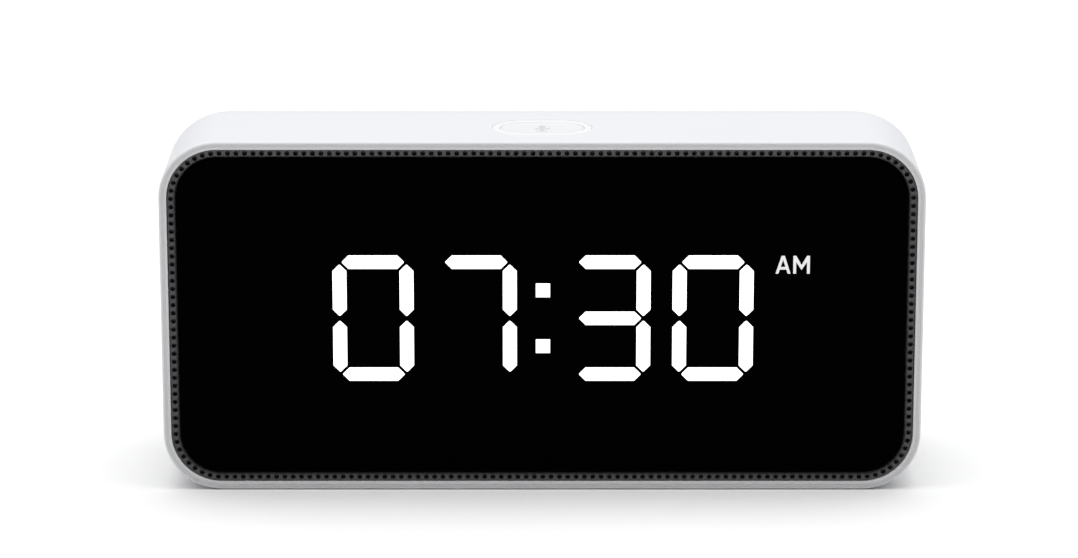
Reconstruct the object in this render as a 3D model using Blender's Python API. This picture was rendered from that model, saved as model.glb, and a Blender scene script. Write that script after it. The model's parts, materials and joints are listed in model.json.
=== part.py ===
"""Bedside smart alarm clock.

A one-piece shell holds a perforated trim round a smoked front panel. A four-digit segment display is behind it.
One push button is on top, and a speaker fires through the back.

Lengths are in millimetres and become metres in new_object().
X is the width, +Y points to the back and +Z up, and the origin is on the ground under the middle of the case.
depth(t) is the Y of a point t behind the front rim.
"""

import math

import bmesh
import bpy
from mathutils import Matrix, Vector

MM = 0.001

# --- driving dimensions ---------------------------------------------------------------------------
WIDTH = 145.0
CASE_TOP = 68.5
CASE_BOTTOM = 0.1
DEPTH = 44.0
WALL = 1.5
CORNER = 11.1
RIM_ROUND = 0.45  # rounding of the front edge

BACK_START = 23.5  # depth at which the sides begin to round in towards the back
BACK_INSET = 13.0  # how far the rounded back has come in all round
BACK_CORNER_GROWTH = 0.25  # how much the corner radius grows for each millimetre of inset

TRIM_INSET = 1.62  # outline of the perforated trim, measured in from the case outline
PANEL_INSET = 3.35  # outline of the front panel
PANEL_FRONT = 0.4
PANEL_BACK = 2.3
PANEL_EDGE = 0.15
TRIM_FRONT = 0.6
TRIM_BACK = 2.0
TAPE_INSETS = (5.4, 7.4)  # outer and inner edge of the tape, which leaves a way for sound round its outside
CHASSIS_FRONT = 2.8
CHASSIS_BACK = 4.3

DIGIT_X = (-32.1, -12.5, 12.9, 32.45)
DISPLAY_Z = 34.05
BAR_X = 6.36  # upright bars stand this far to each side of a digit's middle
BAR_Z = 11.03  # top and bottom bars lie this far above and below it
BAR_WIDTH = 2.65
BAR_GAP = 0.5  # from a bar's tip to the corner where it would meet the next bar
COLON_X = 0.15
COLON_RISE = 5.5
COLON_SIDE = 2.7
AM_X = 47.5
AM_Z = DISPLAY_Z + 10.7
REFLECTOR_FRONT = 2.9
REFLECTOR_BACK = 9.0
GUIDE_FRONT = 2.85
GUIDE_PLATE = 6.9  # front of the plate that carries a light guide's bars
GUIDE_BACK = 7.7
GUIDE_PLATE_SIZE = (17.6, 27.6)
DISPLAY_BOARD = (9.3, 10.9)  # depths of the board's two faces
LAMP_FRONT = 8.4

BUTTON_DEPTH = 12.6
BUTTON_LENGTH = 19.0
BUTTON_BREADTH = 12.8
LIGHT_RING_WIDTH = 1.3
COLLAR_WIDTH = 1.7  # step of the light ring that stops under the case top
BUTTON_BOARD_Z = 55.0

SPEAKER_Z = 37.5
SPEAKER_RADIUS = 17.0
GRILLE_PITCH = 4.0
GRILLE_HOLE = 1.0  # radius
GRILLE_HALF_LENGTH = 24.0
GRILLE_HALF_HEIGHT = 10.5

SOCKET_Z = 16.5
POCKET = (12.6, 7.4)  # the recess in the back that the charging plug's body goes into
POCKET_CORNER = 2.2
POCKET_FLOOR = 39.5
SOCKET_MOUTH = (9.2, 3.4)
SOCKET_METAL = 0.35
SOCKET_ROOT = 31.8
BOARD_TOP = 14.5
BOARD_THICKNESS = 1.6
ARM_X = 43.0  # the chassis arms that carry the main board
INNER_FLOOR = 3.6  # top of the thick strip in the case floor that the case screws clamp

FOOT_HALF_LENGTH = 56.0
FOOT_FRONT = 4.0
FOOT_BACK = 29.0
FOOT_RECESS = 0.8
FOOT_CORNER = 4.0

MICROPHONE_X = 35.0
MICROPHONE_Z = 63.9

CLEAR = 0.15  # gap between neighbouring pieces
ARC_STEPS = 5  # facets in a quarter turn of a case outline
ROUND_STEPS = 20
SMALL_STEPS = 10


def depth(t):
    """Y of a point t behind the front rim."""
    return t - DEPTH / 2


# --- materials ------------------------------------------------------------------------------------
def material(name, colour, roughness, metallic=0.0):
    found = bpy.data.materials.get(name)
    if found:
        return found
    made = bpy.data.materials.new(name)
    made.use_nodes = True
    shader = made.node_tree.nodes["Principled BSDF"]
    shader.inputs["Base Color"].default_value = (*colour, 1.0)
    shader.inputs["Roughness"].default_value = roughness
    shader.inputs["Metallic"].default_value = metallic
    return made


def white_plastic():
    return material("white_plastic", (0.86, 0.86, 0.88), 0.35)


def trim_plastic():
    return material("trim_plastic", (0.05, 0.05, 0.052), 0.5)


def smoked_panel():
    return material("smoked_panel", (0.004, 0.004, 0.004), 0.12)


def black_plastic():
    return material("black_plastic", (0.02, 0.02, 0.02), 0.55)


def milky_plastic():
    return material("milky_plastic", (0.92, 0.92, 0.9), 0.4)


def board_green():
    return material("board_green", (0.02, 0.13, 0.06), 0.5)


def steel():
    return material("steel", (0.55, 0.56, 0.58), 0.3, 1.0)


def rubber():
    return material("rubber", (0.3, 0.3, 0.31), 0.8)


def cone_paper():
    return material("cone_paper", (0.03, 0.03, 0.032), 0.8)


def copper():
    return material("copper", (0.72, 0.35, 0.18), 0.35, 1.0)


def cable_skin():
    return material("cable_skin", (0.04, 0.04, 0.045), 0.5)


# --- building blocks ------------------------------------------------------------------------------
def new_object(name, bm, finish, smooth=False):
    """Turns the bmesh's faces outwards, scales it to metres and makes it an object."""
    bmesh.ops.recalc_face_normals(bm, faces=bm.faces)
    bmesh.ops.scale(bm, vec=(MM, MM, MM), verts=bm.verts)
    mesh = bpy.data.meshes.new(name)
    bm.to_mesh(mesh)
    bm.free()
    if smooth:
        mesh.shade_smooth()
        mesh.set_sharp_from_angle(angle=math.radians(35))
    mesh.materials.append(finish)
    made = bpy.data.objects.new(name, mesh)
    bpy.context.scene.collection.objects.link(made)
    return made


def rounded_rectangle(width, height, radius, steps=ARC_STEPS):
    """Outline about the origin as (across, up) points, anticlockwise, each corner an arc."""
    points = []
    corners = ((1, 1, 0), (-1, 1, 90), (-1, -1, 180), (1, -1, 270))
    for side, rise, start in corners:
        centre = (side * (width / 2 - radius), rise * (height / 2 - radius))
        for step in range(steps + 1):
            angle = math.radians(start + 90 * step / steps)
            points.append((centre[0] + radius * math.cos(angle), centre[1] + radius * math.sin(angle)))
    return points


def case_outline(inset, radius):
    """The case's outline, drawn in by inset on every side."""
    height = CASE_TOP - CASE_BOTTOM
    middle = (CASE_TOP + CASE_BOTTOM) / 2
    flat = rounded_rectangle(WIDTH - 2 * inset, height - 2 * inset, radius)
    return [(x, z + middle) for x, z in flat]


def loop_at(outline, y):
    return [Vector((x, y, z)) for x, z in outline]


def skin(bm, loops, closed=False):
    """Joins the loops with quads. Both ends are filled unless closed joins the last loop to the first."""
    rows = [[bm.verts.new(point) for point in points] for points in loops]
    pairs = list(zip(rows, rows[1:]))
    if closed:
        pairs.append((rows[-1], rows[0]))
    for first, second in pairs:
        for i in range(len(first)):
            bm.faces.new((first[i - 1], first[i], second[i], second[i - 1]))
    if not closed:
        bm.faces.new(rows[0])
        bm.faces.new(rows[-1])


def prism(bm, outline, low, high, axis="Y"):
    """Adds a solid with that outline, running from low to high along the axis."""
    place = {
        "Y": lambda a, b, along: Vector((a, along, b)),
        "Z": lambda a, b, along: Vector((a, b, along)),
        "X": lambda a, b, along: Vector((along, a, b)),
    }[axis]
    skin(bm, [[place(a, b, along) for a, b in outline] for along in (low, high)])


def box(bm, low, high):
    size = [h - l for l, h in zip(low, high)]
    middle = [(l + h) / 2 for l, h in zip(low, high)]
    made = bmesh.ops.create_cube(bm, size=1.0)["verts"]
    bmesh.ops.scale(bm, vec=size, verts=made)
    bmesh.ops.translate(bm, vec=middle, verts=made)


def circle(radius, centre=(0, 0), steps=ROUND_STEPS):
    x, y = centre
    turn = 2 * math.pi / steps
    return [(x + radius * math.cos(i * turn), y + radius * math.sin(i * turn)) for i in range(steps)]


def stadium(length, breadth, centre=(0, 0), steps=ARC_STEPS):
    points = rounded_rectangle(length, breadth, breadth / 2 - 0.001, steps)
    return [(x + centre[0], y + centre[1]) for x, y in points]


def ring(name, outer, inner, low, high, finish, axis="Y", smooth=False):
    """A closed band between two outlines with the same number of points."""
    place = {
        "Y": lambda p, along: Vector((p[0], along, p[1])),
        "Z": lambda p, along: Vector((p[0], p[1], along)),
    }[axis]
    loops = [
        [place(p, low) for p in outer],
        [place(p, high) for p in outer],
        [place(p, high) for p in inner],
        [place(p, low) for p in inner],
    ]
    bm = bmesh.new()
    skin(bm, loops, closed=True)
    return new_object(name, bm, finish, smooth=smooth)


def turned(bm, profile, centre, steps=ROUND_STEPS, closed=False):
    """Spins (radius, y) points about a line along Y through centre (x, z). An open profile ends on it."""
    middle = Vector((centre[0], 0, centre[1]))
    points = [bm.verts.new(middle + Vector((radius, along, 0))) for radius, along in profile]
    edges = [bm.edges.new(pair) for pair in zip(points, points[1:])]
    if closed:
        edges.append(bm.edges.new((points[-1], points[0])))
    whole = 2 * math.pi
    bmesh.ops.spin(
        bm, geom=points + edges, cent=middle, axis=(0, 1, 0), angle=whole, steps=steps, use_merge=True
    )
    bmesh.ops.remove_doubles(bm, verts=bm.verts, dist=0.0005)


def turned_object(name, profile, centre, finish, closed=False):
    """A turned piece whose profile is (radius, depth) points."""
    bm = bmesh.new()
    turned(bm, [(radius, depth(t)) for radius, t in profile], centre, closed=closed)
    return new_object(name, bm, finish, smooth=True)


def helper(name, bm):
    """A shape used only to cut or to join: it is never a piece itself."""
    made = new_object(name, bm, black_plastic())
    made.hide_render = True
    made.display_type = "WIRE"
    return made


def combine(target, bm, operation):
    """Cuts the bmesh from the target, or joins it on, with an exact Boolean."""
    tool = helper(f"{target.name}_{operation.lower()}_{len(target.modifiers)}", bm)
    modifier = target.modifiers.new(operation.lower(), "BOOLEAN")
    modifier.operation = operation
    modifier.solver = "EXACT"
    modifier.use_self = True
    modifier.object = tool


# --- case -----------------------------------------------------------------------------------------
def back_inset(t, inset, run):
    """How far a quarter ellipse has come in at depth t."""
    along = min(max((t - BACK_START) / run, 0.0), 1.0)
    return inset * (1 - math.sqrt(1 - along * along))


def shell_loops(wall):
    """Loops of the case surface, front to back, offset inwards by the wall."""
    run = DEPTH - BACK_START - wall
    loops = []
    for turn in (0, 20, 40, 58, 74, 90):
        t = BACK_START + run * math.sin(math.radians(turn))
        inset = back_inset(t, BACK_INSET - wall, run) + wall
        radius = CORNER - wall + BACK_CORNER_GROWTH * inset
        loops.append(loop_at(case_outline(inset, radius), depth(t)))
    return loops


def housing_shell():
    halfway = RIM_ROUND * (1 - math.sqrt(0.5))
    outside = [
        loop_at(case_outline(RIM_ROUND, CORNER - RIM_ROUND), depth(0)),
        loop_at(case_outline(halfway, CORNER - halfway), depth(halfway)),
        loop_at(case_outline(0, CORNER), depth(RIM_ROUND)),
    ] + shell_loops(0)
    inside = [loop_at(case_outline(WALL, CORNER - WALL), depth(0))] + shell_loops(WALL)
    bm = bmesh.new()
    skin(bm, inside[::-1] + outside)
    shell = new_object("housing_shell", bm, white_plastic(), smooth=True)

    floor = bmesh.new()
    box(floor, (-54, depth(6.5), CASE_BOTTOM + 1.0), (54, depth(27.5), INNER_FLOOR))
    combine(shell, floor, "UNION")
    bosses = bmesh.new()
    for x, z in speaker_screw_places():
        prism(bosses, circle(2.4, (x, z), SMALL_STEPS), depth(38.9), depth(DEPTH - 1.0))
    combine(shell, bosses, "UNION")
    pocket_wall = bmesh.new()
    prism(pocket_wall, pocket_outline(1.0), depth(POCKET_FLOOR - 1.0), depth(DEPTH - 0.8))
    combine(shell, pocket_wall, "UNION")

    cuts = bmesh.new()
    prism(cuts, stadium(BUTTON_LENGTH + 2 * CLEAR, BUTTON_BREADTH + 2 * CLEAR, (0, depth(BUTTON_DEPTH))),
          CASE_TOP - 4, CASE_TOP + 2, "Z")
    prism(cuts, pocket_outline(0), depth(POCKET_FLOOR), depth(DEPTH + 3))
    prism(cuts, stadium(9.8, 4.0, (0, SOCKET_Z)), depth(POCKET_FLOOR - 2), depth(POCKET_FLOOR + 1))
    prism(cuts, foot_outline(CLEAR), CASE_BOTTOM - 3, CASE_BOTTOM + FOOT_RECESS, "Z")
    for x, y in case_screw_places():
        prism(cuts, circle(2.2, (x, y), SMALL_STEPS), CASE_BOTTOM + 0.3, INNER_FLOOR - 1.0, "Z")
        prism(cuts, circle(1.1, (x, y), SMALL_STEPS), CASE_BOTTOM + 0.6, INNER_FLOOR + 1.0, "Z")
    for x, z in speaker_screw_places():
        prism(cuts, circle(1.05, (x, z), 8), depth(36), depth(DEPTH - 1.8))
    for x, z in grille_places():
        prism(cuts, circle(GRILLE_HOLE, (x, z), 6), depth(DEPTH - 3), depth(DEPTH + 2))
    combine(shell, cuts, "DIFFERENCE")


def pocket_outline(margin):
    across, up = POCKET
    outline = rounded_rectangle(across + 2 * margin, up + 2 * margin, POCKET_CORNER + margin)
    return [(x, z + SOCKET_Z) for x, z in outline]


def grille_places():
    """Holes in staggered rows that fill a stadium over the speaker."""
    places = []
    rise = GRILLE_PITCH * math.sin(math.radians(60))
    rows = int(GRILLE_HALF_HEIGHT / rise)
    for row in range(-rows, rows + 1):
        z = row * rise
        reach = GRILLE_HALF_LENGTH - GRILLE_HALF_HEIGHT
        reach += math.sqrt(max(GRILLE_HALF_HEIGHT**2 - z * z, 0))
        shift = 0.5 * (row % 2)
        count = int(reach / GRILLE_PITCH)
        for column in range(-count - 1, count + 2):
            x = (column + shift) * GRILLE_PITCH
            if abs(x) <= reach:
                places.append((x, SPEAKER_Z + z))
    return places


def foot_outline(margin):
    length = 2 * (FOOT_HALF_LENGTH + margin)
    outline = rounded_rectangle(length, FOOT_BACK - FOOT_FRONT + 2 * margin, FOOT_CORNER + margin)
    middle = depth((FOOT_FRONT + FOOT_BACK) / 2)
    return [(x, y + middle) for x, y in outline]


def foot_pad():
    bm = bmesh.new()
    prism(bm, foot_outline(0), 0, CASE_BOTTOM + FOOT_RECESS - CLEAR, "Z")
    new_object("foot_pad", bm, rubber())


def case_screw_places():
    return [(side * ARM_X, depth(t)) for side in (-1, 1) for t in (11.0, 24.0)]


# --- front ----------------------------------------------------------------------------------------
def trim_and_panel():
    outer = case_outline(TRIM_INSET, CORNER - TRIM_INSET)
    inner = case_outline(PANEL_INSET - 0.1, CORNER - PANEL_INSET + 0.1)
    ring("perforated_trim", outer, inner, depth(TRIM_FRONT), depth(TRIM_BACK), trim_plastic())

    bm = bmesh.new()
    edge = PANEL_INSET + PANEL_EDGE
    loops = [
        loop_at(case_outline(edge, CORNER - edge), depth(PANEL_FRONT)),
        loop_at(case_outline(PANEL_INSET, CORNER - PANEL_INSET), depth(PANEL_FRONT + PANEL_EDGE)),
        loop_at(case_outline(PANEL_INSET, CORNER - PANEL_INSET), depth(PANEL_BACK)),
    ]
    skin(bm, loops)
    new_object("front_panel", bm, smoked_panel())

    tape_outer, tape_inner = [case_outline(inset, CORNER - inset) for inset in TAPE_INSETS]
    ring("panel_tape", tape_outer, tape_inner, depth(2.4), depth(2.65), black_plastic())


def chassis():
    """The carrier that the panel, display, boards and case screws all fasten to."""
    front, back = CHASSIS_FRONT, CHASSIS_BACK
    bm = bmesh.new()
    prism(bm, case_outline(PANEL_INSET, CORNER - PANEL_INSET), depth(front), depth(back))
    frame = new_object("chassis", bm, black_plastic())

    tabs = bmesh.new()
    reach = WALL + 0.3
    tab_front, tab_back = depth(front + 0.2), depth(back - 0.2)
    for x in (-42, 42):
        box(tabs, (x - 5, tab_front, CASE_TOP - 8), (x + 5, tab_back, CASE_TOP - reach))
        box(tabs, (x - 5, tab_front, CASE_BOTTOM + reach), (x + 5, tab_back, CASE_BOTTOM + 8))
    for side in (-1, 1):
        low, high = sorted((side * (WIDTH / 2 - 8), side * (WIDTH / 2 - reach)))
        box(tabs, (low, tab_front, DISPLAY_Z - 6), (high, tab_back, DISPLAY_Z + 6))
    combine(frame, tabs, "UNION")

    limbs = bmesh.new()
    for side in (-1, 1):
        x = side * ARM_X
        under_board = BOARD_TOP - BOARD_THICKNESS
        box(limbs, (x - 4, depth(back - 0.5), INNER_FLOOR + 0.3), (x + 4, depth(27), under_board - 0.3))
        box(limbs, (x - 3.6, depth(26), 8.2), (x + 3.6, depth(37.8), under_board - 0.5))
    shelf = BUTTON_BOARD_Z - 0.2
    box(limbs, (-13, depth(back - 0.4), shelf - 1.6), (13, depth(19.5), shelf))
    for x, z in display_screw_places():
        prism(limbs, circle(2.6, (x, z), SMALL_STEPS), depth(back - 0.6), depth(9.1))
    combine(frame, limbs, "UNION")

    cuts = bmesh.new()
    box(cuts, (-44.5, depth(1), DISPLAY_Z - 15.5), (54, depth(6), DISPLAY_Z + 15.5))
    for x, z in display_screw_places():
        prism(cuts, circle(1.0, (x, z), 8), depth(5.5), depth(12))
    for x, y in case_screw_places():
        prism(cuts, circle(1.1, (x, y), 8), INNER_FLOOR - 1, INNER_FLOOR + 6, "Z")
    for x, y in board_screw_places():
        prism(cuts, circle(1.0, (x, y), 8), BOARD_TOP - 5, BOARD_TOP + 2, "Z")
    for side in (-1, 1):
        prism(cuts, circle(0.8, (side * MICROPHONE_X, MICROPHONE_Z), 8), depth(1), depth(6))
    combine(frame, cuts, "DIFFERENCE")


# --- display --------------------------------------------------------------------------------------
def display_screw_places():
    return [(x, DISPLAY_Z + rise) for x in (-48.5, 58.0) for rise in (-12.5, 12.5)]


def bar_outline(centre, length, upright, width=BAR_WIDTH):
    """A bar with pointed ends, as (x, z) points."""
    half, point = width / 2, length / 2
    flat = [(-point, 0), (-point + half, -half), (point - half, -half), (point, 0), (point - half, half),
            (-point + half, half)]
    if upright:
        flat = [(-b, a) for a, b in flat]
    return [(centre[0] + a, centre[1] + b) for a, b in flat]


def digit_bars(x, width=BAR_WIDTH):
    """The seven bars of a digit, from the top bar round to the middle one."""
    across = 2 * BAR_X - 2 * BAR_GAP - (BAR_WIDTH - width)
    tall = BAR_Z - 2 * BAR_GAP - (BAR_WIDTH - width)
    bars = [bar_outline((x, DISPLAY_Z + rise), across, False, width) for rise in (BAR_Z, -BAR_Z, 0)]
    for side in (-1, 1):
        for rise in (BAR_Z / 2, -BAR_Z / 2):
            bars.append(bar_outline((x + side * BAR_X, DISPLAY_Z + rise), tall, True, width))
    return bars


def square(x, z, side):
    half = side / 2
    return [(x - half, z - half), (x + half, z - half), (x + half, z + half), (x - half, z + half)]


def light_guide(name, x, z, plate, bars):
    """A diffuser insert: a plate behind the reflector with one raised bar for each lit shape."""
    bm = bmesh.new()
    box(bm, (x - plate[0] / 2, depth(GUIDE_PLATE), z - plate[1] / 2),
        (x + plate[0] / 2, depth(GUIDE_BACK), z + plate[1] / 2))
    guide = new_object(name, bm, milky_plastic())
    raised = bmesh.new()
    for bar in bars:
        prism(raised, bar, depth(GUIDE_FRONT), depth(GUIDE_PLATE + 0.4))
    combine(guide, raised, "UNION")


def display():
    left, right = -43.8, 53.3
    bm = bmesh.new()
    box(bm, (left, depth(REFLECTOR_FRONT), DISPLAY_Z - 15), (right, depth(REFLECTOR_BACK), DISPLAY_Z + 15))
    reflector = new_object("display_reflector", bm, black_plastic())

    narrow = BAR_WIDTH - 2 * CLEAR
    colon = [(COLON_X, DISPLAY_Z + rise) for rise in (COLON_RISE, -COLON_RISE)]
    windows, pockets = bmesh.new(), bmesh.new()
    for x in DIGIT_X:
        for bar in digit_bars(x):
            prism(windows, bar, depth(0), depth(12))
        box(pockets, (x - 9, depth(6.7), DISPLAY_Z - 14), (x + 9, depth(12), DISPLAY_Z + 14))
    for x, z in colon:
        prism(windows, square(x, z, COLON_SIDE), depth(0), depth(12))
    prism(windows, square(AM_X, AM_Z, 6.4), depth(0), depth(12))
    box(pockets, (COLON_X - 2.3, depth(6.7), DISPLAY_Z - 9), (COLON_X + 2.6, depth(12), DISPLAY_Z + 9))
    box(pockets, (AM_X - 4.6, depth(6.7), AM_Z - 4.3), (AM_X + 4.6, depth(12), AM_Z + 3.6))
    combine(reflector, pockets, "DIFFERENCE")
    combine(reflector, windows, "DIFFERENCE")

    for number, x in enumerate(DIGIT_X, 1):
        light_guide(f"digit_{number}_light_guide", x, DISPLAY_Z, GUIDE_PLATE_SIZE, digit_bars(x, narrow))
    light_guide("colon_light_guide", COLON_X + 0.15, DISPLAY_Z, (4.4, 17.6),
                [square(x, z, COLON_SIDE - 0.3) for x, z in colon])
    light_guide("am_light_guide", AM_X, AM_Z - 0.35, (8.8, 7.4), [square(AM_X, AM_Z, 6.1)])

    front, back = [depth(t) for t in DISPLAY_BOARD]
    board = bmesh.new()
    box(board, (-52, front, DISPLAY_Z - 16), (61.5, back, DISPLAY_Z + 16))
    display_board = new_object("display_board", board, board_green())
    places = colon + [(AM_X, AM_Z)]
    for x in DIGIT_X:
        places += [(x, DISPLAY_Z + rise) for rise in (BAR_Z, 0, -BAR_Z)]
        places += [(x + across, DISPLAY_Z + rise) for across in (-BAR_X, BAR_X) for rise in (-5.5, 5.5)]
    lamps = bmesh.new()
    for x, z in places:
        box(lamps, (x - 0.8, depth(LAMP_FRONT), z - 0.5), (x + 0.8, front + 0.3, z + 0.5))
    combine(display_board, lamps, "UNION")
    holes = bmesh.new()
    for x, z in display_screw_places():
        prism(holes, circle(1.2, (x, z), 8), depth(8), depth(12))
    combine(display_board, holes, "DIFFERENCE")


# --- screws ---------------------------------------------------------------------------------------
def screw(name, place, direction, length, head_radius=1.9, head_height=1.2, shank_radius=0.8):
    """A pan-head screw. place is the underside of the head, and direction the way the shank points."""
    profile = [
        (0, -head_height),
        (head_radius * 0.8, -head_height),
        (head_radius, -head_height * 0.5),
        (head_radius, 0),
        (shank_radius, 0),
        (shank_radius, length - 0.6),
        (0, length),
    ]
    bm = bmesh.new()
    turned(bm, profile, (0, 0), SMALL_STEPS)
    spin = Vector((0, 1, 0)).rotation_difference(Vector(direction)).to_matrix()
    bmesh.ops.rotate(bm, cent=(0, 0, 0), matrix=spin, verts=bm.verts)
    bmesh.ops.translate(bm, vec=place, verts=bm.verts)
    new_object(name, bm, steel(), smooth=True)


def screws():
    for number, (x, y) in enumerate(case_screw_places(), 1):
        screw(f"case_screw_{number}", (x, y, INNER_FLOOR - 1.1), (0, 0, 1), 5.5, 1.9, 0.9)
    for number, (x, z) in enumerate(display_screw_places(), 1):
        screw(f"display_screw_{number}", (x, depth(11.1), z), (0, -1, 0), 4.6)
    for number, (x, z) in enumerate(speaker_screw_places(), 1):
        screw(f"speaker_screw_{number}", (x, depth(37.15), z), (0, 1, 0), 4.4)
    for number, (x, y) in enumerate(board_screw_places(), 1):
        screw(f"board_screw_{number}", (x, y, BOARD_TOP + 0.2), (0, 0, -1), 4.6)


# --- main board -----------------------------------------------------------------------------------
def board_screw_places():
    return [(side * ARM_X, depth(t)) for side in (-1, 1) for t in (17.5, 35.0)]


def main_board():
    bm = bmesh.new()
    box(bm, (-49, depth(14), BOARD_TOP - BOARD_THICKNESS), (49, depth(38.1), BOARD_TOP))
    board = new_object("main_board", bm, board_green())
    chips = bmesh.new()
    box(chips, (-34, depth(18), BOARD_TOP - 0.5), (-22, depth(30), BOARD_TOP + 1.3))
    prism(chips, circle(3.1, (-7.5, depth(26)), SMALL_STEPS), BOARD_TOP - 0.5, BOARD_TOP + 4.6, "Z")
    combine(board, chips, "UNION")
    holes = bmesh.new()
    for x, y in board_screw_places():
        prism(holes, circle(1.2, (x, y), 8), BOARD_TOP - 4, BOARD_TOP + 2, "Z")
    combine(board, holes, "DIFFERENCE")

    bm = bmesh.new()
    box(bm, (15, depth(16), BOARD_TOP + 0.15), (37, depth(32), BOARD_TOP + 2.4))
    new_object("shield_can", bm, steel())

    power_socket()


def power_socket():
    """The inlet for a charging lead: a steel shell, open at the back, round a contact tongue."""
    mouth, root = depth(POCKET_FLOOR - 0.2), depth(SOCKET_ROOT)
    across, up = SOCKET_MOUTH
    bm = bmesh.new()
    prism(bm, stadium(across, up, (0, SOCKET_Z)), root, mouth)
    shell = new_object("power_socket", bm, steel(), smooth=True)
    hollow = bmesh.new()
    inside = stadium(across - 2 * SOCKET_METAL, up - 2 * SOCKET_METAL, (0, SOCKET_Z))
    prism(hollow, inside, root + 1.0, mouth + 2)
    combine(shell, hollow, "DIFFERENCE")
    bm = bmesh.new()
    box(bm, (-3.3, root + 1.2, SOCKET_Z - 0.35), (3.3, mouth - 1.2, SOCKET_Z + 0.35))
    new_object("socket_tongue", bm, black_plastic())


# --- button ---------------------------------------------------------------------------------------
def button():
    """The cap and the switch's plunger move down together, along the empty on the button's axis."""
    y = depth(BUTTON_DEPTH)
    middle = (0, y)
    outer = stadium(BUTTON_LENGTH, BUTTON_BREADTH, middle)
    inner_size = (BUTTON_LENGTH - 2 * LIGHT_RING_WIDTH, BUTTON_BREADTH - 2 * LIGHT_RING_WIDTH)
    inner = stadium(*inner_size, middle)
    collar = stadium(BUTTON_LENGTH + 2 * COLLAR_WIDTH, BUTTON_BREADTH + 2 * COLLAR_WIDTH, middle)
    heights = (CASE_TOP - 2.5, CASE_TOP - WALL - 0.2, CASE_TOP - 0.05)
    loops = [
        [Vector((px, py, heights[0])) for px, py in collar],
        [Vector((px, py, heights[1])) for px, py in collar],
        [Vector((px, py, heights[1])) for px, py in outer],
        [Vector((px, py, heights[2])) for px, py in outer],
        [Vector((px, py, heights[2])) for px, py in inner],
        [Vector((px, py, heights[0])) for px, py in inner],
    ]
    bm = bmesh.new()
    skin(bm, loops, closed=True)
    new_object("button_light_ring", bm, milky_plastic(), smooth=True)

    axis = bpy.data.objects.new("button_axis", None)
    axis.location = Vector((0, y, CASE_TOP)) * MM
    bpy.context.scene.collection.objects.link(axis)

    cap_size = (inner_size[0] - 2 * CLEAR, inner_size[1] - 2 * CLEAR)
    cap_outline = stadium(*cap_size, middle)
    cap_face = stadium(cap_size[0] - 0.5, cap_size[1] - 0.5, middle)
    skirt = [Vector((px, py, CASE_TOP - 2.8)) for px, py in cap_outline]
    edge = [Vector((px, py, CASE_TOP - 0.25)) for px, py in cap_outline]
    top = [Vector((px, py, CASE_TOP - 0.08)) for px, py in cap_face]
    bm = bmesh.new()
    skin(bm, [skirt, edge, top])
    cap = new_object("button_cap", bm, white_plastic(), smooth=True)
    inside = bmesh.new()
    flange = stadium(cap_size[0] + 1.9, cap_size[1] + 1.9, middle)
    prism(inside, flange, CASE_TOP - 3.6, CASE_TOP - 2.7, "Z")
    prism(inside, circle(2.2, middle, SMALL_STEPS), CASE_TOP - 7.2, CASE_TOP - 2.9, "Z")
    combine(cap, inside, "UNION")

    bm = bmesh.new()
    prism(bm, circle(1.6, middle, SMALL_STEPS), CASE_TOP - 10.4, CASE_TOP - 7.4, "Z")
    plunger = new_object("switch_plunger", bm, black_plastic(), smooth=True)
    for piece in (cap, plunger):
        piece.parent = axis
        piece.matrix_parent_inverse = Matrix.Translation(-axis.location)

    bm = bmesh.new()
    box(bm, (-12, depth(5), BUTTON_BOARD_Z), (12, depth(19), BUTTON_BOARD_Z + 1.2))
    new_object("button_board", bm, board_green())
    switch_z = BUTTON_BOARD_Z + 1.35
    bm = bmesh.new()
    box(bm, (-3, y - 3, switch_z), (3, y + 3, switch_z + 3.4))
    switch = new_object("tact_switch", bm, black_plastic())
    bore = bmesh.new()
    prism(bore, circle(1.85, middle, SMALL_STEPS), switch_z + 0.6, switch_z + 6, "Z")
    combine(switch, bore, "DIFFERENCE")


# --- speaker --------------------------------------------------------------------------------------
def speaker_screw_places():
    return [(side * 14.2, SPEAKER_Z + rise) for side in (-1, 1) for rise in (-13.2, 13.2)]


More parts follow.
